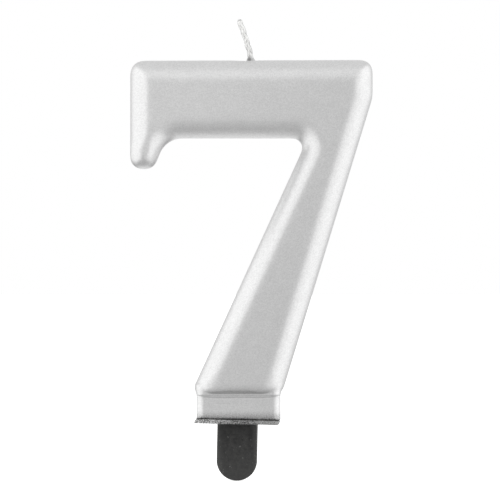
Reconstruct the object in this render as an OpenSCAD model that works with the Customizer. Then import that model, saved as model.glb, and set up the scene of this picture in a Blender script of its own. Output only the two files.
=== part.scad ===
// Number birthday candle: a cast wax figure 7 on a short plinth, under a thin silver coat,
// with a plaited cotton wick in its top and a moulded holder whose pick goes into the cake.
// Millimetres. The origin is the middle of the holder plate's underside, on the pick's axis.
// +Z is up, +X is to the right as the figure is read, and its front faces -Y.

/* [Figure] */
// Height of the wax figure, plinth included
figure_h = 75; // [72:0.5:80]
// Width of the figure across its top bar
figure_w = 50.8; // [48:0.2:54]
// Depth of the figure, front face to back face
figure_d = 12.5; // [11:0.5:16]
// Distance from the pick's axis to the figure's left side
figure_left = 22.4; // [20:0.2:24]
// Height of the top bar
bar_h = 16.35; // [14:0.05:19]
// Height of the bar's right end above the bend into the stem
shoulder_h = 7.65; // [6:0.05:9]
// How far the serif hangs below the bar
serif_drop = 6.55; // [5:0.05:9]
// Width of the serif at its lower end
serif_w = 5; // [4.5:0.1:7]
// Lean of the serif's inner side from upright, in degrees
serif_lean = 20; // [5:1:30]
// Radius of the front and back round-over
face_round = 5; // [2:0.1:5.2]
// Thickness of the silver coat
coat_t = 0.25; // [0.15:0.05:0.4]

/* [Stem] */
// Width of the stem's foot
foot_w = 18.25; // [16:0.05:20]
// Distance from the pick's axis to the foot's left side
foot_left = 8.85; // [8:0.05:10]
// Height of the foot's underside above the plinth's underside
foot_h = 5.35; // [4:0.05:7]
// Height of the heel, where the stem's left side turns upright, above the foot's underside
heel_h = 2; // [1:0.1:4]
// Distance from the pick's axis to the stem's left side where it meets the bar
stem_top_left = 14.5; // [13:0.1:16]
// Radius of the round-over under the foot
foot_round = 2.2; // [1:0.1:2.6]

/* [Plinth] */
// Width of the plinth
plinth_w = 17.5; // [16:0.1:18]
// Depth of the plinth
plinth_d = 9.5; // [8:0.1:10.5]
// Distance of the plinth's middle from the pick's axis
plinth_shift = 0.3; // [0:0.05:0.4]
// Radius of the plinth's upright edges
plinth_edge = 1.5; // [0.5:0.1:2.5]

/* [Holder] */
// Width of the plate
plate_w = 18.2; // [18:0.1:22]
// Depth of the plate
plate_d = 10.4; // [10:0.1:13]
// Thickness of the plate
plate_t = 1.3; // [1:0.1:2]
// Radius of the plate's corners
plate_corner = 1; // [0.5:0.1:2]
// Width of the pick
pick_w = 8.5; // [7:0.1:9]
// Length of the pick below the plate
pick_l = 11.75; // [9:0.25:20]
// Thickness of the pick
pick_t = 1.8; // [1.4:0.1:2.4]
// Width of the anchor tongue inside the wax
tongue_w = 8; // [6:0.1:9]
// Length of the anchor tongue above the plate
tongue_l = 11; // [10:0.5:14]
// Thickness of the anchor tongue
tongue_t = 1.6; // [1.2:0.1:2.2]
// Diameter of the two holes in the tongue that the wax fills
anchor_hole_d = 2.4; // [2:0.1:3]

/* [Wick] */
// Distance of the wick from the pick's axis
wick_x = 2.8; // [0:0.1:8]
// Length of wick inside the wax
wick_deep = 12.5; // [8:0.5:13]
// Height of the wick's tip above the figure
wick_up = 8.8; // [6:0.2:12]
// Width of the plaited wick
wick_w = 1.07; // [0.95:0.01:1.2]
// Length of one full turn of the plait
plait_pitch = 6.6; // [5:0.1:8]
// Lean of the wick's free end to the left, in degrees
wick_lean = 15; // [0:1:30]
// Height of the wax bead that seals the wick's hole
seal_h = 0.8; // [0.5:0.1:1.2]
// Width of the bead at its foot
seal_w = 2; // [1.8:0.1:2.4]

/* [Hidden] */
STRANDS = 3;
$fn = 48;
// How far a cutting shape stands clear of what it cuts
margin = 0.8;
// How far the plinth runs up into the figure
plinth_overlap = 1.5;

// Heights in the part's frame
base_z = plate_t;
top_z = base_z + figure_h;
under_bar_z = top_z - bar_h;
foot_z = base_z + foot_h;
heel_z = foot_z + heel_h;

// Points where the figure's straight sides meet
right_x = figure_w - figure_left;
serif_x = serif_w - figure_left;
serif_root_x = serif_x + serif_drop * tan(serif_lean);
foot_right_x = foot_w - foot_left;

// Radii of the shoulder and of the heel, small enough for each arc's whole disc to lie inside
// the outline
shoulder_r = min(6, 0.78 * shoulder_h);
heel_r = min(3, 0.75 * heel_h);

// Corners of the figure's outline, anticlockwise from the front. Each has its x, z and radius,
// then the round-over of the side that starts there.
CORNERS = [
    [-foot_left, foot_z, 0.6, foot_round],
    [foot_right_x, foot_z, 0.6, face_round],
    [right_x, top_z - shoulder_h, shoulder_r, face_round],
    [right_x, top_z, 2.4, face_round],
    [-figure_left, top_z, 2.6, face_round],
    [-figure_left, under_bar_z - serif_drop, 2.4, face_round],
    [serif_x, under_bar_z - serif_drop, 2.4, face_round],
    [serif_root_x, under_bar_z, 5, face_round],
    [stem_top_left, under_bar_z, 1.9, face_round],
    [-foot_left, heel_z, heel_r, face_round]
];
LAST = len(CORNERS) - 1;
// Small steps that keep neighbouring curved faces from grazing each other: how far a
// round-over and a corner's arc stop short of tangency, how far a side's round-over stops
// before an inner corner, and how much fuller the inner corner's own round-over is
round_short = 0.02;
arc_short = 0.01;
seam_short = 0.1;
seam_step = 0.02;

// Places of the tongue's holes, as shares of its length
TONGUE_HOLES = [0.35, 0.75];

// Wick: three strands that cross side to side while they pass before and behind each other,
// in a straight hole, and the bead round them, which thins to a lip
strand_r = 0.18;
plait_side = wick_w / 2 - strand_r;
plait_depth = 0.27;
bore_gap = 0.1;
bore_r = wick_w / 2 + bore_gap;
seal_lip = 0.12;
bend_r = 4;
bend_start = wick_deep + seal_h;
bend_l = bend_r * wick_lean * PI / 180;
bend_rise = bend_r * sin(wick_lean);
wick_l = bend_start + bend_l + (wick_up - seal_h - bend_rise) / cos(wick_lean);
STRAND_SIDES = 8;
STRAND_RINGS = 48;

// Unit vectors along the side that starts at corner i, and across it into the figure
function side_along(i) =
    let (
        a = CORNERS[i],
        b = CORNERS[(i + 1) % len(CORNERS)],
        run = [b.x - a.x, b.y - a.y]
    )
    run / norm(run);
function side_normal(i) = [-side_along(i).y, side_along(i).x];
function side_before(i) = (i + LAST) % len(CORNERS);

// Angle that the outline turns through at corner i, negative where the corner goes in
function turn_at(i) =
    let (u = side_along(side_before(i)), v = side_along(i))
    atan2(u.x * v.y - u.y * v.x, u * v);
function goes_in(i) = turn_at(i) < 0;

// Corner i of the outline moved in by skin, the radius there, and the distance from the
// corner to where its arc begins
function corner_point(i, skin) =
    let (
        m = side_normal(side_before(i)),
        n = side_normal(i),
        cross = m.x * n.y - m.y * n.x
    )
    [CORNERS[i].x, CORNERS[i].y] + skin * [n.y - m.y, m.x - n.x] / cross;
function corner_radius(i, skin) =
    goes_in(i) ? CORNERS[i][2] + skin : CORNERS[i][2] - skin;
function corner_cut(i, skin) =
    corner_radius(i, skin) * tan(abs(turn_at(i)) / 2);
function arc_centre(i, skin) =
    let (into = goes_in(i) ? -1 : 1, r = corner_radius(i, skin))
    corner_point(i, skin) - corner_cut(i, skin) * side_along(side_before(i))
        + into * r * side_normal(side_before(i));

// Outline of the figure moved in by skin, with true arcs at its corners
module outline(skin) {
    difference() {
        union() {
            polygon([
                for (i = [0:LAST], end = [0, 1])
                    let (along = end == 0 ? -side_along(side_before(i)) : side_along(i))
                    corner_point(i, skin) + corner_cut(i, skin) * along
            ]);
            for (i = [0:LAST])
                if (!goes_in(i))
                    translate(arc_centre(i, skin))
                        circle(corner_radius(i, skin) - arc_short);
        }
        for (i = [0:LAST])
            if (goes_in(i))
                translate(arc_centre(i, skin))
                    circle(corner_radius(i, skin) - arc_short);
    }
}

// What a round-over of radius r takes off a square edge, beyond the side at x = at and under
// the face at y = half_d. Fuller leaves that much more of the edge standing.
module edge_waste(at, r, half_d, fuller = 0) {
    difference() {
        translate([at - margin, half_d - r])
            square([r + margin, r + margin]);
        translate([at + r - round_short, half_d - r + round_short])
            circle(r + fuller);
    }
}

// Waste along the straight side that starts at corner i. It runs on past corners that stick
// out, where two round-overs meet in a mitre, and stops just before the arc of an inner corner.
module side_waste(i, skin, half_d) {
    j = (i + 1) % len(CORNERS);
    u = side_along(i);
    run_on = face_round + margin;
    before = goes_in(i) ? -corner_cut(i, skin) - seam_short : run_on;
    after = goes_in(j) ? -corner_cut(j, skin) - seam_short : run_on;
    far = corner_point(j, skin) + after * u;
    length = norm(corner_point(j, skin) - corner_point(i, skin)) + before + after;
    translate([far.x, 0, far.y])
        rotate([0, atan2(-u.x, -u.y), 0])
            linear_extrude(length)
                edge_waste(0, CORNERS[i][3] - skin, half_d);
}

// Waste round the arc of inner corner i. Beyond the arc its ring lies inside the sides' waste.
module inner_corner_waste(i, skin, half_d) {
    c = arc_centre(i, skin);
    translate([c.x, 0, c.y])
        rotate([-90, 0, 0])
            rotate_extrude()
                edge_waste(corner_radius(i, skin), face_round - skin, half_d, seam_step);
}

// The figure above its plinth, a given distance under its skin, rounded over front and back
module rounded_figure(skin) {
    half_d = figure_d / 2 - skin;
    difference() {
        rotate([90, 0, 0])
            linear_extrude(2 * half_d, center = true)
                outline(skin);
        for (back = [0, 1], i = [0:LAST])
            mirror([0, back, 0]) {
                side_waste(i, skin, half_d);
                if (goes_in(i)) inner_corner_waste(i, skin, half_d);
            }
    }
}

// Rectangle about the origin with round corners, from two bars and four discs
module round_rectangle(w, d, r) {
    square([w - 2 * r, d], center = true);
    square([w, d - 2 * r], center = true);
    for (x = [-1, 1], y = [-1, 1])
        translate([x * (w / 2 - r), y * (d / 2 - r)])
            circle(r);
}

module plinth(skin, low_z) {
    translate([plinth_shift, 0, low_z])
        linear_extrude(foot_z + plinth_overlap - skin - low_z)
            round_rectangle(plinth_w - 2 * skin, plinth_d - 2 * skin, plinth_edge - skin);
}

module figure(skin, low_z) {
    rounded_figure(skin);
    plinth(skin, low_z);
}

module wick_bore() {
    translate([wick_x, 0, top_z - wick_deep])
        cylinder(r = bore_r, h = wick_deep + margin);
}

// Flat blade in the upright plane, with a round end at its lower tip
module blade(w, l, t) {
    rotate([90, 0, 0])
        linear_extrude(t, center = true)
            union() {
                translate([-w / 2, -l + w / 2])
                    square([w, l - w / 2]);
                translate([0, -l + w / 2])
                    circle(w / 2);
            }
}

// Anchor tongue above the plate, with its two holes
module tongue() {
    difference() {
        translate([-tongue_w / 2, -tongue_t / 2, plate_t / 2])
            cube([tongue_w, tongue_t, tongue_l + plate_t / 2]);
        for (place = TONGUE_HOLES)
            translate([0, tongue_t, plate_t + tongue_l * place])
                rotate([90, 0, 0])
                    cylinder(d = anchor_hole_d, h = 2 * tongue_t);
    }
}

module wax_core() {
    color("ivory")
        difference() {
            figure(coat_t, base_z);
            wick_bore();
            tongue();
        }
}

module silver_coat() {
    color("gainsboro")
        difference() {
            figure(0, base_z);
            figure(coat_t, base_z - margin);
            wick_bore();
        }
}

module wick_seal() {
    color("darkgray")
        translate([wick_x, 0, top_z])
            rotate_extrude()
                polygon([
                    [bore_r, 0],
                    [seal_w / 2, 0],
                    [bore_r + seal_lip, seal_h],
                    [bore_r, seal_h]
                ]);
}

module cake_pick() {
    color("dimgray") {
        linear_extrude(plate_t)
            round_rectangle(plate_w, plate_d, plate_corner);
        translate([0, 0, plate_t / 2])
            blade(pick_w, pick_l + plate_t / 2, pick_t);
        tongue();
    }
}

// Point at length s along the wick's middle line, and the lean of the line there
function wick_turn(s) =
    wick_lean * min(max((s - bend_start) / bend_l, 0), 1);
function wick_point(s) =
    let (
        lean = wick_turn(s),
        past = max(s - bend_start - bend_l, 0),
        rise = min(s, bend_start)
    )
    [
        wick_x - bend_r * (1 - cos(lean)) - past * sin(lean),
        0,
        top_z - wick_deep + rise + bend_r * sin(lean) + past * cos(lean)
    ];

// Closed solid through a list of rings with the same number of points
module loft(rings) {
    n = len(rings[0]);
    last = len(rings) - 1;
    sides = [
        for (j = [0:last - 1], i = [0:n - 1])
            [j * n + i, j * n + (i + 1) % n, (j + 1) * n + (i + 1) % n, (j + 1) * n + i]
    ];
    first_cap = [for (i = [n - 1:-1:0]) i];
    last_cap = [for (i = [0:n - 1]) last * n + i];
    polyhedron(
        points = [for (ring = rings, p = ring) p],
        faces = concat(sides, [first_cap, last_cap]),
        convexity = 8
    );
}

module wick_strand(i) {
    phase = 360 * i / STRANDS;
    rings = [
        for (j = [0:STRAND_RINGS])
            let (
                s = wick_l * j / STRAND_RINGS,
                lean = wick_turn(s),
                across = [cos(lean), 0, sin(lean)],
                a = 360 * s / plait_pitch + phase,
                middle = wick_point(s) + plait_side * sin(a) * across
                    + [0, plait_depth * sin(2 * a), 0]
            )
            [
                for (k = [0:STRAND_SIDES - 1])
                    let (b = 360 * k / STRAND_SIDES)
                    middle + strand_r * (cos(b) * across + [0, sin(b), 0])
            ]
    ];
    color("linen")
        loft(rings);
}

wax_core();
silver_coat();
wick_seal();
cake_pick();
for (i = [1:STRANDS])
    wick_strand(i);
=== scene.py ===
"""Looks of the number birthday candle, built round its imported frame.

Shapes are worked out in millimetres, in the row frame, and put into metres as each mesh is made.
The front is towards -Y. The figure, the wax and the holder are fields that are negative inside.
Each is meshed on a grid, then every point is moved onto the surface itself, and the shading
normals come from the field. The wick's strands and its bead are rings of points.
"""

import bpy
import numpy as np
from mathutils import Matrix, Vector


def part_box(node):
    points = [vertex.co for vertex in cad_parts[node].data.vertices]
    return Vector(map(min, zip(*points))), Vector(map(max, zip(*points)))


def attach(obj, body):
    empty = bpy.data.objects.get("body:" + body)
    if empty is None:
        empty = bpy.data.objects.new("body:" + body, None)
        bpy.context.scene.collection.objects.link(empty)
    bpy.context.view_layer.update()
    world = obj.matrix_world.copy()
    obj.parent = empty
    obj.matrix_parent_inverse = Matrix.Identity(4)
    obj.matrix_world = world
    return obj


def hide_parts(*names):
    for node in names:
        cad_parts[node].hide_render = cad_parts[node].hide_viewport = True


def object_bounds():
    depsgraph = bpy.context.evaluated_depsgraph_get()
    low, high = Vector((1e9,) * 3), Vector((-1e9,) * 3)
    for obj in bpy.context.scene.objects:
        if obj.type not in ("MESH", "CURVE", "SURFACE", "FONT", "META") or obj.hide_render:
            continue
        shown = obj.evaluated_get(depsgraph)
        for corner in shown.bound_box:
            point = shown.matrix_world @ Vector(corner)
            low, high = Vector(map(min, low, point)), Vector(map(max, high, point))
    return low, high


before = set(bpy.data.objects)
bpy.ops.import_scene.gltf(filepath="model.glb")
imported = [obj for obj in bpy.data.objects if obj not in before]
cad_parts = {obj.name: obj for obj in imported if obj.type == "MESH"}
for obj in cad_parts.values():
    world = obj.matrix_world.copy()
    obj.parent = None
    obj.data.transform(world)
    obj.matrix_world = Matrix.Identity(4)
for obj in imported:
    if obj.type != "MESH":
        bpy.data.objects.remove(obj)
CAD_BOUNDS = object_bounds()
MM = 0.001


def mm_box(node):
    """Lowest and highest corner of a CAD node, in millimetres."""
    low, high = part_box(node)
    return np.array(low) / MM, np.array(high) / MM


(LEFT, _, BASE), (RIGHT, HALF_D, TOP) = mm_box("silver_coat")
(_, _, PICK_TIP), _ = mm_box("cake_pick")
SEAL_LOW, SEAL_HIGH = mm_box("wick_seal")
WICK_X = (SEAL_LOW[0] + SEAL_HIGH[0]) / 2
SEAL_H = SEAL_HIGH[2] - SEAL_LOW[2]


# ---------------------------------------------------------------- fields


def unit(v):
    """A vector of length 1 the same way as v."""
    return v / np.linalg.norm(v)


def rounded_loop(corners, step=0.12):
    """Points round a polygon whose corners (x, z, radius) are true arcs."""
    points = []
    for i, (x, z, radius) in enumerate(corners):
        here = np.array([x, z], float)
        back = unit(np.array(corners[i - 1][:2]) - here)
        on = unit(np.array(corners[(i + 1) % len(corners)][:2]) - here)
        half = np.arccos(np.clip(back @ on, -1, 1)) / 2
        centre = here + unit(back + on) * radius / np.sin(half)
        first = here + back * radius / np.tan(half) - centre
        last = here + on * radius / np.tan(half) - centre
        start = np.arctan2(first[1], first[0])
        sweep = (np.arctan2(last[1], last[0]) - start + np.pi) % (2 * np.pi) - np.pi
        for a in start + sweep * np.linspace(0, 1, max(4, int(radius * abs(sweep) / step))):
            points.append(centre + radius * np.array([np.cos(a), np.sin(a)]))
    return np.array(points)


def inset_grid(loop, xs, zs):
    """Distance inside a closed loop at each node of a flat grid, negative outside."""
    px, pz = np.meshgrid(xs, zs, indexing="ij")
    p = np.stack([px, pz], -1)
    nearest = np.full(px.shape, np.inf)
    inside = np.zeros(px.shape, bool)
    for a, b in zip(loop, np.roll(loop, -1, 0)):
        run = b - a
        t = np.clip(((p - a) @ run) / (run @ run), 0, 1)
        nearest = np.minimum(nearest, np.linalg.norm(p - a - t[..., None] * run, axis=-1))
        if a[1] != b[1]:
            at = a[0] + (pz - a[1]) / (b[1] - a[1]) * run[0]
            inside ^= ((a[1] > pz) != (b[1] > pz)) & (px < at)
    return np.where(inside, nearest, -nearest)


def soften(grid, spread):
    """A flat grid blurred by a bell curve of that many nodes."""
    reach = int(3 * spread) + 1
    bell = np.exp(-0.5 * (np.arange(-reach, reach + 1) / spread) ** 2)
    bell /= bell.sum()
    for axis in (0, 1):
        pad = [(reach, reach) if n == axis else (0, 0) for n in (0, 1)]
        wide = np.pad(grid, pad, mode="edge")
        grid = np.apply_along_axis(np.convolve, axis, wide, bell, mode="valid")
    return grid


def spline_weights(t):
    """Shares of four neighbours in a cubic B-spline, t of the way from the second to the third."""
    return (
        (1 - t) ** 3 / 6,
        (3 * t**3 - 6 * t**2 + 4) / 6,
        (-3 * t**3 + 3 * t**2 + 3 * t + 1) / 6,
        t**3 / 6,
    )


def spline_at(grid, low, pitch, x, z):
    """A flat grid's value at x, z as a cubic B-spline, which leaves its creases soft."""
    u, v = (x - low[0]) / pitch, (z - low[1]) / pitch
    i, j = np.floor(u).astype(int), np.floor(v).astype(int)
    total = 0
    for a, wa in enumerate(spline_weights(u - i)):
        for b, wb in enumerate(spline_weights(v - j)):
            total = total + wa * wb * grid[i + a - 1, j + b - 1]
    return total


def smooth_min(a, b, k):
    """The smaller of a and b, rounded off where they differ by less than k."""
    h = np.maximum(k - np.abs(a - b), 0) / k
    return np.minimum(a, b) - h * h * k / 4


def smooth_max(a, b, k):
    """The greater of a and b, rounded off where they differ by less than k."""
    return -smooth_min(-a, -b, k)


def rounded_edge(side, face, radius):
    """Field of a solid from how far inside its side and its face a point is."""
    p, q = radius - side, radius - face
    return np.hypot(np.maximum(p, 0), np.maximum(q, 0)) - radius + np.minimum(np.maximum(p, q), 0)


def bump(t, width):
    """A soft hump of height 1 about t = 0."""
    return np.exp(-((t / width) ** 2))


def soft_step(t):
    """0 below t = 0, 1 above t = 1, eased between."""
    t = np.clip(t, 0, 1)
    return t * t * (3 - 2 * t)


# ---------------------------------------------------------------- meshing


def surface_net(field, xs, ys, zs):
    """Points and quads of a field's surface on a grid, one point in each cell that it crosses."""
    f = field(xs[:, None, None], ys[None, :, None], zs[None, None, :])
    inside = f < 0
    count = sum(
        inside[i : len(xs) - 1 + i, j : len(ys) - 1 + j, k : len(zs) - 1 + k].astype(np.int8)
        for i in (0, 1)
        for j in (0, 1)
        for k in (0, 1)
    )
    cells = np.argwhere((count > 0) & (count < 8))
    number = np.full(count.shape, -1)
    number[tuple(cells.T)] = np.arange(len(cells))
    middles = [(c[1:] + c[:-1]) / 2 for c in (xs, ys, zs)]
    points = np.stack([m[cells[:, n]] for n, m in enumerate(middles)], -1)
    quads = []
    for axis in range(3):
        low = np.take(inside, range(inside.shape[axis] - 1), axis)
        high = np.take(inside, range(1, inside.shape[axis]), axis)
        one, two = (axis + 1) % 3, (axis + 2) % 3
        for goes_out in (True, False):
            at = np.argwhere((low & ~high) if goes_out else (~low & high))
            ring = []
            for da, db in ((-1, -1), (0, -1), (0, 0), (-1, 0)):
                cell = at.copy()
                cell[:, one] += da
                cell[:, two] += db
                ring.append(number[tuple(cell.T)])
            quads.append(np.stack(ring if goes_out else ring[::-1], -1))
    return points, np.concatenate(quads)


def slope_at(field, p, step=2e-3):
    """The field's slope at each point."""
    columns = []
    for axis in range(3):
        shift = np.zeros(3)
        shift[axis] = step
        columns.append((field(*(p + shift).T) - field(*(p - shift).T)) / (2 * step))
    return np.stack(columns, -1)


def settle(field, p, passes, reach):
    """Moves points onto the field's surface."""
    for _ in range(passes):
        slope = slope_at(field, p)
        move = -slope * (field(*p.T) / np.maximum((slope**2).sum(-1), 0.05))[:, None]
        size = np.linalg.norm(move, axis=-1, keepdims=True)
        p = p + move * np.minimum(1, reach / np.maximum(size, 1e-9))
    return p


def relax(field, p, quads, reach, passes=6):
    """Evens out the points along the surface."""
    ends = np.concatenate([quads[:, [n, (n + 1) % 4]] for n in range(4)])
    ends = np.concatenate([ends, ends[:, ::-1]])
    valence = np.bincount(ends[:, 0], minlength=len(p))[:, None]
    for _ in range(passes):
        around = np.stack(
            [np.bincount(ends[:, 0], p[ends[:, 1], n], minlength=len(p)) for n in range(3)], -1
        )
        pull = around / valence - p
        slope = slope_at(field, p)
        normal = slope / np.maximum(np.linalg.norm(slope, axis=-1, keepdims=True), 1e-9)
        p = p + 0.5 * (pull - normal * (pull * normal).sum(-1, keepdims=True))
        p = settle(field, p, 1, reach)
    return settle(field, p, 2, reach)


def new_piece(name, points, faces, normals=None, body="root"):
    """A smooth mesh from points in millimetres, riding on a CAD body."""
    mesh = bpy.data.meshes.new(name)
    mesh.from_pydata((points * MM).tolist(), [], faces)
    mesh.polygons.foreach_set("use_smooth", [True] * len(mesh.polygons))
    if normals is not None:
        mesh.normals_split_custom_set_from_vertices(normals.tolist())
    mesh.update()
    piece = bpy.data.objects.new(name, mesh)
    bpy.context.scene.collection.objects.link(piece)
    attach(piece, body)
    return piece


def field_piece(name, field, xs, ys, zs, turn=None):
    """A piece from a field. turn maps its points and normals last, if given."""
    points, quads = surface_net(field, xs, ys, zs)
    reach = min(np.diff(xs).min(), np.diff(ys).min(), np.diff(zs).min())
    points = settle(field, points, 3, reach)
    points = relax(field, points, quads, reach)
    slope = slope_at(field, points)
    normals = slope / np.linalg.norm(slope, axis=-1, keepdims=True)
    if turn is not None:
        points, normals = turn(points, normals)
    return new_piece(name, points, quads.tolist(), normals)


def span(low, high, pitch):
    """Evenly spaced numbers that run a little past low and high."""
    return np.arange(low - 1.5 * pitch, high + 1.6 * pitch, pitch)


# ---------------------------------------------------------------- the silver figure

# Round-over of the faces' edges, how much smaller it is round the serif, and the foot's own
FACE_ROUND, SERIF_ROUND_LESS, FOOT_ROUND = 5.0, 1.6, 2.6

# Heights of the foot, its heel, the bar's underside, the shoulder and the serif's end
FOOT_Z = BASE + 5.1
HEEL_Z = FOOT_Z + 1.75
UNDER_BAR = TOP - 16.25
SHOULDER_Z = TOP - 7.65
SERIF_LOW = UNDER_BAR - 6.45

# Places across. The serif is wider at its root by what a slant gives over a height
FOOT_LEFT, FOOT_RIGHT = -8.98, 9.36
STEM_TOP_LEFT = 14.8
SERIF_SIDE_H, SERIF_SLANT = 6.55, np.radians(20)
SERIF_RIGHT = LEFT + 4.9
SERIF_ROOT = SERIF_RIGHT + SERIF_SIDE_H * np.tan(SERIF_SLANT)

# How much higher the top is at its right end than at its left end
TOP_RISE = 0.18

# Outline of the figure, carried on below the foot so that only the foot's own round-over cuts it
BELOW = FOOT_Z - 9.0
RIGHT_LEAN = (RIGHT - FOOT_RIGHT) / (SHOULDER_Z - FOOT_Z)
OUTLINE = rounded_loop(
    [
        (FOOT_LEFT, BELOW, 0.5),
        (FOOT_RIGHT - RIGHT_LEAN * (FOOT_Z - BELOW), BELOW, 0.5),
        (RIGHT, SHOULDER_Z, 6.0),
        (RIGHT, TOP + TOP_RISE, 2.4),
        (LEFT, TOP, 2.7),
        (LEFT, SERIF_LOW, 2.4),
        (SERIF_RIGHT, SERIF_LOW, 2.4),
        (SERIF_ROOT, UNDER_BAR, 5.0),
        (STEM_TOP_LEFT, UNDER_BAR, 1.9),
        (FOOT_LEFT, HEEL_Z, 3.0),
    ]
)

# How far inside the outline a place is, on a grid, with the creases blurred by CREASE_BLUR
INSET_PITCH, INSET_EDGE, CREASE_BLUR = 0.25, 4.0, 0.6
INSET_LOW = (LEFT - INSET_EDGE, BELOW - 3.0)
INSET = soften(
    inset_grid(
        OUTLINE,
        np.arange(INSET_LOW[0], RIGHT + INSET_EDGE, INSET_PITCH),
        np.arange(INSET_LOW[1], TOP + INSET_EDGE, INSET_PITCH),
    ),
    CREASE_BLUR / INSET_PITCH,
)

# Slow waves of the faces: their height, and how fast they go across and up, in radians a mm
WAVE_H, WAVE_ACROSS, WAVE_UP = 0.020, 0.31, 0.23

# Where the round-over of the serif starts to be less, and the lengths over which that eases in
SERIF_EASE_Z, SERIF_EASE_H = UNDER_BAR + 1.5, 4.5
SERIF_EASE_X, SERIF_EASE_W = SERIF_ROOT + 3.0, 3.0

# Join of the faces and the foot's round-over, and how much softer it is by the foot's corners,
# out to these distances across and up
FOOT_JOIN, CORNER_SOFTER = 0.3, 2.0
CORNER_ACROSS, CORNER_UP = 9.0, 6.0

# The plinth, how far its underside lies under the coat's in the middle, and its top in the foot
PLINTH_MID, PLINTH_HALF_W, PLINTH_HALF_D, PLINTH_EDGE = 0.3, 8.79, 4.2, 1.7
PLINTH_DROP, PLINTH_TOP = 0.11, FOOT_Z + 2.0
# Depth and height of the flare under the foot, and of the toe that draws in over the plate
COVE_D, COVE_H = 0.4, 1.2
TOE_D, TOE_H = 0.12, 0.8
# The ledge round the plinth: its depth, its width, its height and its rise at the two sides
LEDGE_D, LEDGE_W, LEDGE_Z, LEDGE_RISE = 0.07, 0.16, FOOT_Z - 0.75, 0.6
# A short scratch on the plinth's face, from its left end to the middle: its depth, width, height
# and slope, the place of its left end, and the length over which it fades at both ends
STREAK_D, STREAK_W, STREAK_Z, STREAK_SLOPE = 0.03, 0.14, 4.3, 0.02
STREAK_LEFT, STREAK_ENDS = -5.5, 1.5
# Join of figure and plinth, how much softer it is at the plinth's sides, and where that starts
PLINTH_JOIN, SIDE_SOFTER, SIDE_FROM = 0.25, 0.5, 0.75
# The dip in the top beside the wick: its depth, its reach and how far left of the wick it lies
DIP_D, DIP_REACH, DIP_ASIDE = 0.22, 2.0, 0.9

# The holder leans to the right, and with it the plinth's underside
LEAN = np.radians(1.2)


def leaning_z(x, z):
    """Height over a line through the plate's middle that leans as the holder does."""
    return z + np.tan(LEAN) * x


def body_field(x, z, inset, depth):
    """The figure above its plinth."""
    waves = WAVE_H * np.sin(WAVE_ACROSS * x + 0.9) * np.sin(WAVE_UP * z + 2.0)
    under_bar = soft_step((SERIF_EASE_Z - z) / SERIF_EASE_H)
    on_serif = under_bar * soft_step((SERIF_EASE_X - x) / SERIF_EASE_W)
    body = rounded_edge(inset, depth + waves, FACE_ROUND - SERIF_ROUND_LESS * on_serif)
    foot = rounded_edge(z - FOOT_Z, depth, FOOT_ROUND)
    near_corner = soft_step(1 - np.hypot(inset / CORNER_ACROSS, (z - FOOT_Z) / CORNER_UP))
    return smooth_max(body, foot, FOOT_JOIN + CORNER_SOFTER * near_corner)


def plinth_field(x, y, z, across):
    """The plinth. across runs from -1 at its left side to 1 at its right."""
    above_base = leaning_z(x, z) - BASE + PLINTH_DROP
    cove = COVE_D * np.clip(1 - (FOOT_Z - z) / COVE_H, 0, 1) ** 2
    toe = TOE_D * np.clip(1 - above_base / TOE_H, 0, 1) ** 2
    ledge = LEDGE_D * bump(z - LEDGE_Z - LEDGE_RISE * across**6, LEDGE_W)
    streak_ends = soft_step((x - STREAK_LEFT) / STREAK_ENDS) * soft_step(-x / STREAK_ENDS)
    streak = STREAK_D * bump(z - STREAK_Z + STREAK_SLOPE * x, STREAK_W) * streak_ends
    px = np.abs(x - PLINTH_MID) - PLINTH_HALF_W + PLINTH_EDGE
    py = np.abs(y) - PLINTH_HALF_D - cove + toe + ledge + streak + PLINTH_EDGE
    plinth = np.hypot(np.maximum(px, 0), np.maximum(py, 0)) - PLINTH_EDGE
    plinth = plinth + np.minimum(np.maximum(px, py), 0)
    plinth = smooth_max(plinth, -above_base, 0.15)
    return smooth_max(plinth, z - PLINTH_TOP, 0.5)


def figure_field(x, y, z):
    """The whole casting with its paint."""
    inset = spline_at(INSET, INSET_LOW, INSET_PITCH, x, z)
    across = (x - PLINTH_MID) / PLINTH_HALF_W
    at_side = soft_step((np.abs(across) - SIDE_FROM) / (1 - SIDE_FROM))
    body = body_field(x, z, inset, HALF_D - np.abs(y))
    whole = smooth_min(
        body, plinth_field(x, y, z, across), PLINTH_JOIN + SIDE_SOFTER * at_side
    )
    beside_wick = bump(np.hypot(x - WICK_X + DIP_ASIDE, y), DIP_REACH)
    return whole + DIP_D * beside_wick * bump(z - TOP, DIP_REACH)


# Grid steps: over the figure, over the plinth, and finer round the seam between them
PITCH = 0.3
PLINTH_PITCH, SEAM_PITCH = 0.22, 0.12
SEAM_LOW, SEAM_HIGH = FOOT_Z - 1.2, FOOT_Z + 1.0
figure = field_piece(
    "silver_figure",
    figure_field,
    span(LEFT, RIGHT, PITCH),
    span(-HALF_D, HALF_D, PITCH),
    np.concatenate(
        [
            span(BASE - 0.3, SEAM_LOW, PLINTH_PITCH)[:-2],
            np.arange(SEAM_LOW, SEAM_HIGH, SEAM_PITCH),
            np.arange(SEAM_HIGH, TOP + 0.7, PITCH),
        ]
    ),
)
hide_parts("silver_coat")

# How far the wax lies under the paint's surface
COAT_T = 0.3


def casting_field(x, y, z):
    """The wax under the paint."""
    return figure_field(x, y, z) + COAT_T


casting = field_piece(
    "wax_casting",
    casting_field,
    span(LEFT, RIGHT, 2 * PITCH),
    span(-HALF_D, HALF_D, 2 * PITCH),
    span(BASE, TOP, 2 * PITCH),
)
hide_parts("wax_core")


# ---------------------------------------------------------------- the holder

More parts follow.
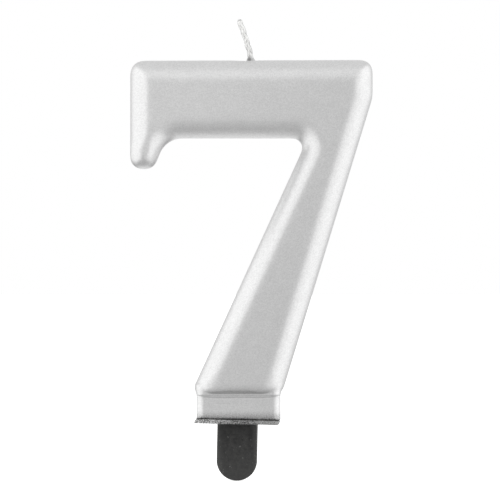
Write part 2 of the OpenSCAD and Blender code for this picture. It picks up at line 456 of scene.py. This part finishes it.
# The plate, the bevel of its edges, the softness of its corners and the slant of its two ends
PLATE_LOW, PLATE_HIGH = 0.22, 1.10
PLATE_LEFT, PLATE_RIGHT, PLATE_HALF_D = -9.05, 8.95, 5.2
PLATE_BEVEL, PLATE_CORNER, LEFT_SLANT, RIGHT_SLANT = 0.13, 1.2, 0.45, 0.35
# The low pad on the plate, which fills the gap under the plinth, and the bevel of its edges
PAD_HALF_W, PAD_HALF_D, PAD_LOW, PAD_HIGH, PAD_EDGE = 8.3, 3.3, PLATE_LOW + 0.3, BASE + 0.1, 0.1
# The pick, the bevel of its edges, how much thinner it gets a millimetre, the middle of its
# round tip, and its root in the plate
PICK_X, PICK_HALF_W, PICK_HALF_T, PICK_BEVEL, PICK_TAPER = 0.12, 4.25, 0.9, 0.38, 0.012
PICK_END_Z, PICK_ROOT = PICK_TIP + PICK_HALF_W, PLATE_LOW + 0.4
# The ring that the mould's ejector leaves
MARK_Z, MARK_R, MARK_D, MARK_W = -3.4, 1.55, 0.05, 0.14
# The anchor tongue in the wax, and its two holes, whose heights are shares of its length
TONGUE_HALF_W, TONGUE_HALF_T, TONGUE_L, TONGUE_BEVEL = 4.0, 0.8, 11.0, 0.25
TONGUE_HOLE_R, TONGUE_HOLES = 1.2, (0.35, 0.75)
TONGUE_TOP, TONGUE_ROOT = BASE + TONGUE_L, BASE - 0.4
# Softness of the joins of plate and pick, and of holder and tongue
PICK_JOIN, TONGUE_JOIN = 0.35, 0.2


def plate_field(x, y, z):
    """The plate and the pad on it."""
    up = np.clip((z - PLATE_LOW) / (PLATE_HIGH - PLATE_LOW), 0, 1)
    from_left = x - PLATE_LEFT - LEFT_SLANT * up
    from_right = PLATE_RIGHT - RIGHT_SLANT * (1 - up) ** 2 - x
    side = np.minimum(from_left, from_right)
    side = -smooth_max(-side, -(PLATE_HALF_D - np.abs(y)), PLATE_CORNER)
    plate = rounded_edge(side, np.minimum(z - PLATE_LOW, PLATE_HIGH - z), PLATE_BEVEL)
    pad_side = -smooth_max(
        np.abs(x - PLINTH_MID) - PAD_HALF_W, np.abs(y) - PAD_HALF_D, PLATE_CORNER
    )
    pad = rounded_edge(pad_side, np.minimum(z - PAD_LOW, PAD_HIGH - z), PAD_EDGE)
    return smooth_min(plate, pad, PAD_EDGE)


def pick_field(x, y, z):
    """The pick, with its round tip and the ejector's ring."""
    beside = np.abs(x - PICK_X)
    round_end = PICK_HALF_W - np.hypot(beside, z - PICK_END_Z)
    flank = np.where(z > PICK_END_Z, PICK_HALF_W - beside, round_end)
    half_t = PICK_HALF_T - PICK_TAPER * (PLATE_LOW - z)
    pick = rounded_edge(flank, half_t - np.abs(y), PICK_BEVEL)
    pick = smooth_max(pick, z - PICK_ROOT, 0.2)
    from_ring = np.hypot(beside, z - MARK_Z) - MARK_R
    return pick + MARK_D * bump(from_ring, MARK_W) * (np.abs(y) > PICK_HALF_T / 2)


def tongue_field(x, y, z):
    """The anchor tongue, with its two holes."""
    side = np.minimum(TONGUE_HALF_W - np.abs(x), TONGUE_TOP - z)
    for share in TONGUE_HOLES:
        side = np.minimum(side, np.hypot(x, z - BASE - TONGUE_L * share) - TONGUE_HOLE_R)
    tongue = rounded_edge(side, TONGUE_HALF_T - np.abs(y), TONGUE_BEVEL)
    return smooth_max(tongue, TONGUE_ROOT - z, 0.2)


def holder_field(x, y, z):
    """The whole holder, upright."""
    plate_and_pick = smooth_min(plate_field(x, y, z), pick_field(x, y, z), PICK_JOIN)
    return smooth_min(plate_and_pick, tongue_field(x, y, z), TONGUE_JOIN)


def lean_holder(points, normals):
    """Turns the holder about its plate's middle, clockwise from the front."""
    c, s = np.cos(LEAN), np.sin(LEAN)
    turn = np.array([[c, 0, -s], [0, 1, 0], [s, 0, c]])
    middle = np.array([0, 0, (PLATE_LOW + PLATE_HIGH) / 2])
    return (points - middle) @ turn + middle, normals @ turn


# Grid steps over the holder, and finer over its plate
HOLDER_PITCH = 0.14
PLATE_PITCH = 0.09
UNDER_PLATE, OVER_PLATE = PLATE_LOW - 0.4, BASE + 0.4
holder = field_piece(
    "holder",
    holder_field,
    span(PLATE_LEFT, PLATE_RIGHT, HOLDER_PITCH),
    span(-PLATE_HALF_D, PLATE_HALF_D, HOLDER_PITCH),
    np.concatenate(
        [
            span(PICK_TIP, UNDER_PLATE, HOLDER_PITCH)[:-2],
            np.arange(UNDER_PLATE, OVER_PLATE, PLATE_PITCH),
            np.arange(OVER_PLATE, TONGUE_TOP + 2 * HOLDER_PITCH, HOLDER_PITCH),
        ]
    ),
    lean_holder,
)
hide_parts("cake_pick")


# ---------------------------------------------------------------- the wick

# How deep it goes into the wax and how high it stands, its bend and its droop past the bend
WICK_DEEP, WICK_UP, WICK_LEAN, BEND_R, DROOP = 12.5, 8.8, np.radians(15), 4.0, 0.42
BEND_START = WICK_DEEP + SEAL_H
BEND_L = BEND_R * WICK_LEAN
WICK_L = BEND_START + BEND_L + (WICK_UP - SEAL_H - BEND_R * np.sin(WICK_LEAN)) / np.cos(WICK_LEAN)
# The plait: its pitch, and how far its strands swing sideways, and to the front and back
PLAIT_PITCH, SWING_SIDE, SWING_DEPTH = 6.6, 0.31, 0.20
# A strand: its half-axes, and its yarns, their ridge's share of it and their twist a millimetre
STRAND_HALF_W, STRAND_HALF_T = 0.30, 0.225
YARNS, YARN_RIDGE, YARN_TWIST = 5, 0.075, 2.2
# Lengths over which the strands draw together, round off and take painted shade at the tip
GATHER_L, ROUND_L, DARK_L = 0.9, 0.42, 0.5


def wick_line(s):
    """Points along the wick's middle, and the sideways direction there."""
    lean = WICK_LEAN * np.clip((s - BEND_START) / BEND_L, 0, 1)
    past = np.maximum(s - BEND_START - BEND_L, 0)
    rise = np.minimum(s, BEND_START)
    x = WICK_X - BEND_R * (1 - np.cos(lean)) - past * np.sin(lean)
    z = TOP - WICK_DEEP + rise + BEND_R * np.sin(lean) + past * np.cos(lean)
    middle = np.stack([x, np.zeros_like(s), z], -1)
    across = np.stack([np.cos(lean), np.zeros_like(s), np.sin(lean)], -1)
    return middle, across


def tube_faces(rings, sides):
    """Faces of a closed tube with flat ends."""
    faces = []
    for j in range(rings - 1):
        for k in range(sides):
            a, b = j * sides + k, j * sides + (k + 1) % sides
            faces.append([a, b, b + sides, a + sides])
    faces.append(list(range(sides))[::-1])
    faces.append([(rings - 1) * sides + k for k in range(sides)])
    return faces


def wick_strand(number, rings, sides):
    """One bundle of the plait: flattened, with the ridges of its yarns, closed in at the tip.

    Returns its points, and how much painted shade each one takes, along the strand's sides, in its
    yarns' valleys and at the tip.
    """
    s = WICK_L * np.linspace(0, 1, rings) ** 0.8
    to_tip = WICK_L - s
    middle, across = wick_line(s)
    backward = np.array([0.0, 1.0, 0.0])
    apart = np.clip(to_tip / GATHER_L, 0, 1) ** 0.5
    turn = 2 * np.pi * s / PLAIT_PITCH + 2 * np.pi * number / 3
    shift_side = SWING_SIDE * np.sin(turn) * (0.45 + 0.55 * apart)
    shift_back = SWING_DEPTH * np.sin(2 * turn) * apart
    droop = DROOP * np.clip((s - BEND_START) / (WICK_L - BEND_START), 0, 1) ** 2
    end = np.clip(to_tip / ROUND_L, 0, 1)
    size = np.sqrt(np.maximum(1 - (1 - end) ** 2, 0.02))
    angle = 2 * np.pi * np.arange(sides) / sides
    yarn_turn = YARNS * angle[None, :] + YARN_TWIST * s[:, None] + 1.7 * number
    yarns = 1 + YARN_RIDGE * np.cos(yarn_turn)
    ring = size[:, None] * yarns
    middle = middle + (shift_side - droop)[:, None] * across + shift_back[:, None] * backward
    points = (
        middle[:, None, :]
        + (STRAND_HALF_W * ring * np.cos(angle))[..., None] * across[:, None, :]
        + (STRAND_HALF_T * ring * np.sin(angle))[..., None] * backward
    )
    # Painted shade along each strand's sides, in its yarns' valleys and at the tip
    edge = np.abs(np.cos(angle[None, :] + 0.25 * np.sin(3.1 * s[:, None] + number))) ** 3
    valley = np.clip((1 - yarns) / YARN_RIDGE, 0, 1)
    tip = soft_step(1 - to_tip[:, None] / DARK_L)
    strand_shade = 0.85 * edge + 0.15 * valley + 0.9 * tip
    return points.reshape(-1, 3), strand_shade.ravel()


WICK_RINGS, WICK_SIDES = ((260, 30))
strands = []
for number in (1, 2, 3):
    points, strand_shade = wick_strand(number, WICK_RINGS, WICK_SIDES)
    strand = new_piece(f"plait_{number}", points, tube_faces(WICK_RINGS, WICK_SIDES))
    strand.data.attributes.new("strand_shade", "FLOAT", "POINT").data.foreach_set("value", strand_shade)
    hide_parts(f"wick_strand_{number}")
    strands.append(strand)


# ---------------------------------------------------------------- the bead of wax at the wick's foot

# Radius at the bead's foot and at its neck, and how far it starts under the top
SEAL_FOOT_R, SEAL_NECK_R, SEAL_SUNK = 1.25, 0.57, 0.28
SEAL_RINGS, SEAL_SIDES = 16, 48
# Its painted shadow's darkest spot: how far left of the wick's middle, and how far over the top
SHADOW_ASIDE, SHADOW_OVER = 0.25, 0.35


def seal_mesh(rings, sides):
    """A small uneven meniscus that climbs the wick."""
    t = np.linspace(0, 1, rings)[:, None]
    angle = 2 * np.pi * np.arange(sides) / sides
    foot = SEAL_FOOT_R + 0.10 * np.cos(angle - 0.3) + 0.08 * np.cos(3 * angle + 1.0)
    high = SEAL_H * (0.92 + 0.10 * np.cos(2 * angle + 0.4) + 0.06 * np.cos(5 * angle))
    radius = SEAL_NECK_R + (foot - SEAL_NECK_R) * (1 - t) ** 1.3
    z = TOP - SEAL_SUNK + (high + SEAL_SUNK) * t**1.15
    points = np.stack([WICK_X + radius * np.cos(angle), radius * np.sin(angle), z], -1)
    return points.reshape(-1, 3)


seal = new_piece("seal_bead", seal_mesh(SEAL_RINGS, SEAL_SIDES), tube_faces(SEAL_RINGS, SEAL_SIDES))
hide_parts("wick_seal")


# ---------------------------------------------------------------- materials


class Nodes:
    """Short calls for building one node tree."""

    def __init__(self, tree):
        self.tree = tree
        self.tree.nodes.clear()

    def add(self, kind, **inputs):
        node = self.tree.nodes.new(kind)
        for name, value in inputs.items():
            self.put(node.inputs[name.replace("_", " ")], value)
        return node

    def put(self, socket, value):
        if isinstance(value, bpy.types.NodeSocket):
            self.tree.links.new(value, socket)
        else:
            socket.default_value = value

    def math(self, operation, a, b=0.0, c=0.0):
        node = self.tree.nodes.new("ShaderNodeMath")
        node.operation = operation
        for socket, value in zip(node.inputs, (a, b, c)):
            self.put(socket, value)
        return node.outputs[0]

    def ramp(self, value, stops, smooth=False):
        """Colour ramp. stops are (position, grey or colour)."""
        node = self.tree.nodes.new("ShaderNodeValToRGB")
        if smooth:
            node.color_ramp.interpolation = "EASE"
        marks = node.color_ramp.elements
        while len(marks) < len(stops):
            marks.new(0.5)
        for mark, (at, colour) in zip(marks, stops):
            mark.position = at
            mark.color = (*colour, 1) if isinstance(colour, tuple) else (colour,) * 3 + (1,)
        self.put(node.inputs[0], value)
        return node.outputs[0]

    def noise(self, where, scale, detail=2.0, roughness=0.5):
        node = self.add("ShaderNodeTexNoise", Scale=scale, Detail=detail, Roughness=roughness)
        self.put(node.inputs["Vector"], where)
        return node.outputs["Fac"]

    def mix(self, factor, a, b):
        """A colour between a and b."""
        node = self.tree.nodes.new("ShaderNodeMix")
        node.data_type = "RGBA"
        self.put(node.inputs["Factor"], factor)
        self.put(node.inputs["A"], a)
        self.put(node.inputs["B"], b)
        return node.outputs["Result"]

    def bump(self, height, strength, distance, normal=None):
        node = self.add("ShaderNodeBump", Height=height, Strength=strength, Distance=distance)
        if normal is not None:
            self.put(node.inputs["Normal"], normal)
        return node.outputs[0]


def new_material(name):
    material = bpy.data.materials.new(name)
    material.use_nodes = True
    nodes = Nodes(material.node_tree)
    shader = nodes.add("ShaderNodeBsdfPrincipled")
    out = nodes.add("ShaderNodeOutputMaterial")
    nodes.put(out.inputs["Surface"], shader.outputs[0])
    where = nodes.add("ShaderNodeTexCoord").outputs["Object"]
    return material, nodes, shader, where


def set_material(piece, material):
    piece.data.materials.clear()
    piece.data.materials.append(material)


def silver_material():
    """Sprayed metallic paint: fine flakes over slightly uneven wax."""
    material, nodes, shader, where = new_material("silver_paint")
    flakes = nodes.add("ShaderNodeTexVoronoi", Scale=5200.0)
    nodes.put(flakes.inputs["Vector"], where)
    flake = nodes.add("ShaderNodeSeparateColor", Color=flakes.outputs["Color"])
    mottle = nodes.noise(where, 260.0, 4.0, 0.6)
    tone = nodes.math("MULTIPLY_ADD", flake.outputs[0], 0.12, nodes.math("MULTIPLY", mottle, 0.05))
    paint = nodes.ramp(tone, [(0.0, 0.69), (0.17, 0.85)])
    # Painted shade: the faces that look to the front or back are darkened towards the right and
    # towards the foot, where less light falls on them
    shade_from_x, shade_from_z = -12.0 * MM, 70.0 * MM
    across, _, height = nodes.add("ShaderNodeSeparateXYZ", Vector=where).outputs
    rightward = nodes.math("MAXIMUM", nodes.math("SUBTRACT", across, shade_from_x), 0.0)
    downward = nodes.math("SUBTRACT", shade_from_z, height)
    painted_shade = nodes.math("MULTIPLY_ADD", rightward, 2.4, nodes.math("MULTIPLY", downward, 1.1))
    facing = nodes.add("ShaderNodeNewGeometry").outputs["Normal"]
    forward = nodes.math("ABSOLUTE", nodes.add("ShaderNodeSeparateXYZ", Vector=facing).outputs[1])
    painted_shade = nodes.math("MULTIPLY", painted_shade, nodes.ramp(forward, [(0.80, 0.0), (0.99, 1.0)], smooth=True))
    # Bare specks next to the plate, over painted shade that darkens the last few millimetres above the
    # plate
    up = nodes.math("MULTIPLY", height, 0.1 / MM)
    low = nodes.ramp(up, [(0.12, 1.0), (0.32, 0.0)], smooth=True)
    specks = nodes.ramp(nodes.noise(where, 3800.0, 3.0, 0.75), [(0.42, 0.0), (0.62, 1.0)])
    specks = nodes.math("MULTIPLY", nodes.math("MULTIPLY_ADD", specks, 0.40, 0.22), low)
    dim = nodes.add("ShaderNodeVectorMath", Vector=paint)
    dim.operation = "SCALE"
    nodes.put(dim.inputs["Scale"], nodes.math("SUBTRACT", 1.0, nodes.math("ADD", painted_shade, specks)))
    nodes.put(shader.inputs["Base Color"], dim.outputs[0])
    nodes.put(shader.inputs["Metallic"], 1.0)
    rough = nodes.math("MULTIPLY_ADD", nodes.noise(where, 900.0, 3.0), 0.12, 0.36)
    nodes.put(shader.inputs["Roughness"], rough)
    grain = nodes.bump(nodes.noise(where, 3600.0, 3.0, 0.7), 0.16, 0.0001)
    uneven = nodes.bump(nodes.noise(where, 120.0, 2.0), 0.12, 0.0004, grain)
    nodes.put(shader.inputs["Normal"], uneven)
    return material


def plastic_material():
    """Black moulded plastic, scuffed, with silver overspray on the plate, and painted highlights along
    the pick's edges and painted light towards its tip.
    """
    material, nodes, shader, where = new_material("black_plastic")
    across, _, height = nodes.add("ShaderNodeSeparateXYZ", Vector=where).outputs
    cloud = nodes.noise(where, 1300.0, 5.0, 0.75)
    plain = nodes.ramp(cloud, [(0.36, (0.0, 0.0, 0.0)), (0.66, (0.0175, 0.0175, 0.0165))])
    specks = nodes.noise(where, 4200.0, 3.0, 0.75)
    on_plate = nodes.ramp(nodes.math("MULTIPLY", height, 1 / MM), [(0.10, 0.0), (0.30, 1.0)])
    spray = nodes.math("MULTIPLY", nodes.ramp(specks, [(0.44, 0.0), (0.60, 1.0)]), on_plate)
    # Painted highlights along the pick's edges, most at its right one, and painted light towards its
    # tip; lighter too round the ejector's ring and in small flecks
    rightward = nodes.math("MULTIPLY_ADD", height, np.tan(LEAN), across)
    beside = nodes.math("MULTIPLY_ADD", rightward, 0.1 / MM, 0.5)
    edge = nodes.ramp(beside, [(0.07, 0.14), (0.20, 0.0), (0.80, 0.0), (0.89, 0.12), (0.925, 0.75)])
    tip = nodes.ramp(nodes.math("MULTIPLY", height, -0.1 / MM), [(0.3, 0.0), (1.15, 0.11)])
    over = nodes.math("ADD", height, MARK_Z * -MM)
    away = nodes.math("SUBTRACT", rightward, PICK_X * MM)
    squares = nodes.math("ADD", nodes.math("MULTIPLY", away, away), nodes.math("MULTIPLY", over, over))
    spot = nodes.math("MULTIPLY", nodes.math("SQRT", squares), 0.25 / MM)
    rough_patch = nodes.noise(where, 700.0, 3.0, 0.7)
    ring = nodes.ramp(spot, [(0.24, 0.0), (0.36, 0.09), (0.46, 0.06), (0.62, 0.0)])
    ring = nodes.math("MULTIPLY", ring, rough_patch)
    flecks = nodes.ramp(nodes.noise(where, 1900.0, 1.0, 0.6), [(0.70, 0.0), (0.76, 0.4)])
    sheen_and_marks = nodes.math("ADD", nodes.math("ADD", edge, tip), nodes.math("ADD", ring, flecks))
    plain = nodes.mix(sheen_and_marks, plain, (0.14, 0.14, 0.135, 1))
    # Silver overspray, thickest at the plate's left end
    thick = nodes.ramp(beside, [(0.0, 0.72), (0.30, 0.44), (0.60, 0.34), (1.0, 0.42)])
    nodes.put(shader.inputs["Base Color"], nodes.mix(spray, plain, thick))
    nodes.put(shader.inputs["Metallic"], nodes.math("MULTIPLY", spray, 0.8))
    nodes.put(shader.inputs["Roughness"], nodes.math("MULTIPLY_ADD", cloud, 0.2, 0.42))
    grain = nodes.noise(where, 2600.0, 3.0, 0.6)
    nodes.put(shader.inputs["Normal"], nodes.bump(grain, 0.2, 0.0001))
    return material


def cotton_material():
    """Bleached cotton yarn under a thinly laid coat of wax, with painted shade along its strands and
    at its tip.
    """
    material, nodes, shader, where = new_material("waxed_cotton")
    cloud = nodes.noise(where, 1400.0, 3.0)
    colour = nodes.ramp(cloud, [(0.25, (0.66, 0.66, 0.65)), (0.7, (0.83, 0.83, 0.82))])
    # Painted shade along the strands' sides, in the yarns' valleys and at the tip
    strand_shade = nodes.add("ShaderNodeAttribute")
    strand_shade.attribute_name = "strand_shade"
    depth = nodes.ramp(strand_shade.outputs["Fac"], [(0.15, 0.0), (0.9, 0.85)], smooth=True)
    nodes.put(shader.inputs["Base Color"], nodes.mix(depth, colour, (0.33, 0.33, 0.33, 1)))
    nodes.put(shader.inputs["Roughness"], nodes.math("MULTIPLY_ADD", cloud, 0.25, 0.4))
    nodes.put(shader.inputs["Subsurface Weight"], 0.25)
    nodes.put(shader.inputs["Subsurface Radius"], (0.0004, 0.0004, 0.0004))
    nodes.put(shader.inputs["Normal"], nodes.bump(nodes.noise(where, 9000.0, 3.0), 0.2, 0.00005))
    return material


def seal_material():
    """Dark wax with silver paint drawn into it, and a painted shadow just left of the wick's foot."""
    material, nodes, shader, where = new_material("seal_wax")
    cloud = nodes.noise(where, 2500.0, 3.0, 0.6)
    colour = nodes.ramp(cloud, [(0.35, (0.44, 0.44, 0.44)), (0.65, (0.66, 0.66, 0.66))])
    beside, _, up = nodes.add("ShaderNodeSeparateXYZ", Vector=where).outputs
    beside = nodes.math("MULTIPLY_ADD", beside, 1 / MM, SHADOW_ASIDE - WICK_X)
    up = nodes.math("MULTIPLY_ADD", up, 1 / MM, -TOP - SHADOW_OVER)
    squares = nodes.math("ADD", nodes.math("MULTIPLY", beside, beside), nodes.math("MULTIPLY", up, up))
    # Painted shadow, darkest just left of the wick's foot
    left_shadow = nodes.ramp(squares, [(0.0, 0.9), (0.32, 0.0)], smooth=True)
    nodes.put(shader.inputs["Base Color"], nodes.mix(left_shadow, colour, (0.20, 0.20, 0.20, 1)))
    nodes.put(shader.inputs["Metallic"], 0.5)
    nodes.put(shader.inputs["Roughness"], nodes.math("MULTIPLY_ADD", cloud, 0.2, 0.35))
    nodes.put(shader.inputs["Normal"], nodes.bump(cloud, 0.3, 0.0001))
    return material


def wax_material():
    """Paraffin, for the casting under the paint."""
    material, nodes, shader, where = new_material("paraffin")
    cloud = nodes.noise(where, 180.0, 4.0, 0.6)
    colour = nodes.ramp(cloud, [(0.3, (0.84, 0.82, 0.76)), (0.7, (0.91, 0.89, 0.84))])
    nodes.put(shader.inputs["Base Color"], colour)
    nodes.put(shader.inputs["Roughness"], nodes.math("MULTIPLY_ADD", cloud, 0.15, 0.38))
    nodes.put(shader.inputs["Subsurface Weight"], 0.4)
    nodes.put(shader.inputs["Subsurface Radius"], (0.003, 0.0025, 0.002))
    nodes.put(shader.inputs["Normal"], nodes.bump(cloud, 0.1, 0.0003))
    return material


set_material(figure, silver_material())
set_material(holder, plastic_material())
cotton = cotton_material()
for strand in strands:
    set_material(strand, cotton)
set_material(seal, seal_material())
set_material(casting, wax_material())


# ---------------------------------------------------------------- floor, light and camera

FLOOR_HALF = 6.0
floor_mesh = bpy.data.meshes.new("floor")
floor_z = CAD_BOUNDS[0].z
floor_mesh.from_pydata(
    [(x * FLOOR_HALF, y * FLOOR_HALF, floor_z) for x, y in ((-1, -1), (1, -1), (1, 1), (-1, 1))],
    [],
    [(0, 1, 2, 3)],
)
floor = bpy.data.objects.new("floor", floor_mesh)
bpy.context.scene.collection.objects.link(floor)
floor.visible_glossy = False
floor_material, nodes, shader, _ = new_material("pale_floor")
nodes.put(shader.inputs["Base Color"], (0.9, 0.9, 0.9, 1))
nodes.put(shader.inputs["Roughness"], 0.9)
nodes.put(shader.inputs["Emission Color"], (1, 1, 1, 1))
nodes.put(shader.inputs["Emission Strength"], 0.6)
set_material(floor, floor_material)


def soft_box(name, azimuth, elevation, distance, wide, high, radiance):
    """A soft light that faces the candle. Azimuth is from the front, positive to the right."""
    light = bpy.data.lights.new(name, "AREA")
    light.shape = "RECTANGLE"
    light.size, light.size_y = wide, high
    light.energy = radiance * np.pi * wide * high
    lamp = bpy.data.objects.new(name, light)
    a, e = np.radians(azimuth), np.radians(elevation)
    away = Vector((np.sin(a) * np.cos(e), -np.cos(a) * np.cos(e), np.sin(e)))
    lamp.location = Vector((0, 0, (BASE + TOP) / 2 * MM)) + away * distance
    lamp.rotation_mode = "QUATERNION"
    lamp.rotation_quaternion = away.to_track_quat("Z", "Y")
    lamp.visible_camera = False
    bpy.context.scene.collection.objects.link(lamp)


soft_box("soft_box_left", -78, 0, 0.5, 1.20, 1.25, 0.50)
soft_box("soft_box_right", 78, 0, 0.5, 1.20, 1.25, 0.51)
soft_box("soft_box_top", -12, 48, 0.3, 0.42, 0.27, 0.22)

# The room round the candle, by the angle from the front: at the sides, above and below
SIDE_ROOM = [(0, 0.69), (30, 0.73), (120, 0.775), (180, 0.71)]
UPPER_ROOM = [(0, 0.69), (30, 0.70), (60, 0.74), (90, 0.80), (180, 0.80)]
LOWER_ROOM = [(0, 0.69), (20, 0.66), (50, 0.60), (85, 0.49), (100, 0.59), (125, 1.00), (180, 1.10)]

world = bpy.data.worlds.new("studio")
world.use_nodes = True
bpy.context.scene.world = world
nodes = Nodes(world.node_tree)
direction = nodes.add("ShaderNodeTexCoord").outputs["Generated"]
x, y, z = nodes.add("ShaderNodeSeparateXYZ", Vector=direction).outputs
from_front = nodes.math("DIVIDE", nodes.math("ARCCOSINE", nodes.math("MULTIPLY", y, -1.0)), np.pi)
sideways = nodes.math("MULTIPLY", x, x)
upright = nodes.math("MULTIPLY", z, z)
share = nodes.math("DIVIDE", sideways, nodes.math("ADD", nodes.math("ADD", sideways, upright), 1e-4))


def room_ramp(marks):
    return nodes.ramp(from_front, [(at / 180, level) for at, level in marks], smooth=True)


above = nodes.ramp(nodes.math("MULTIPLY_ADD", z, 0.5, 0.5), [(0.44, 0.0), (0.56, 1.0)], smooth=True)
vertical = nodes.mix(above, room_ramp(LOWER_ROOM), room_ramp(UPPER_ROOM))
beside = nodes.ramp(share, [(0.05, 0.0), (0.42, 1.0)], smooth=True)
# The sides of the room are darker low down, and in the rear quarters up to a greater height
behind = nodes.ramp(from_front, [(0.52, 0.0), (0.66, 0.15), (0.82, 0.15), (0.94, 0.0)], smooth=True)
level = nodes.math("SUBTRACT", nodes.math("MULTIPLY_ADD", z, 0.5, 0.5), behind)
low = nodes.ramp(level, [(0.10, 0.5), (0.31, 1.0)], smooth=True)
side_room = nodes.add("ShaderNodeVectorMath", Vector=room_ramp(SIDE_ROOM))
side_room.operation = "MULTIPLY"
nodes.put(side_room.inputs[1], low)
room = nodes.mix(beside, vertical, side_room.outputs[0])
seen = nodes.add("ShaderNodeLightPath").outputs["Is Camera Ray"]
background = nodes.add("ShaderNodeBackground", Color=nodes.mix(seen, room, (1, 1, 1, 1)), Strength=1.0)
nodes.add("ShaderNodeOutputWorld", Surface=background.outputs[0])
bpy.context.scene.view_settings.view_transform = "Standard"

# The lens is long, so that the candle is seen square on with hardly any perspective
LENS, SENSOR = 500.0, 36.0
VIEW_WIDTH = 1.08 * (CAD_BOUNDS[1].z - CAD_BOUNDS[0].z)
# How far left of and under the CAD bounds' middle it looks, and how much farther back it stands
CAMERA_LEFT, CAMERA_DOWN, CAMERA_BACK = 0.3 * MM, 0.1 * MM, 2 * MM
camera_data = bpy.data.cameras.new("camera")
camera_data.lens = LENS
camera_data.sensor_width = SENSOR
camera_data.clip_end = 20.0
camera = bpy.data.objects.new("camera", camera_data)
middle = (CAD_BOUNDS[0] + CAD_BOUNDS[1]) / 2
camera_y = -VIEW_WIDTH * LENS / SENSOR - CAMERA_BACK
camera.location = (middle.x - CAMERA_LEFT, camera_y, middle.z - CAMERA_DOWN)
camera.rotation_euler = (np.pi / 2, 0, 0)
bpy.context.scene.collection.objects.link(camera)
bpy.context.scene.camera = camera
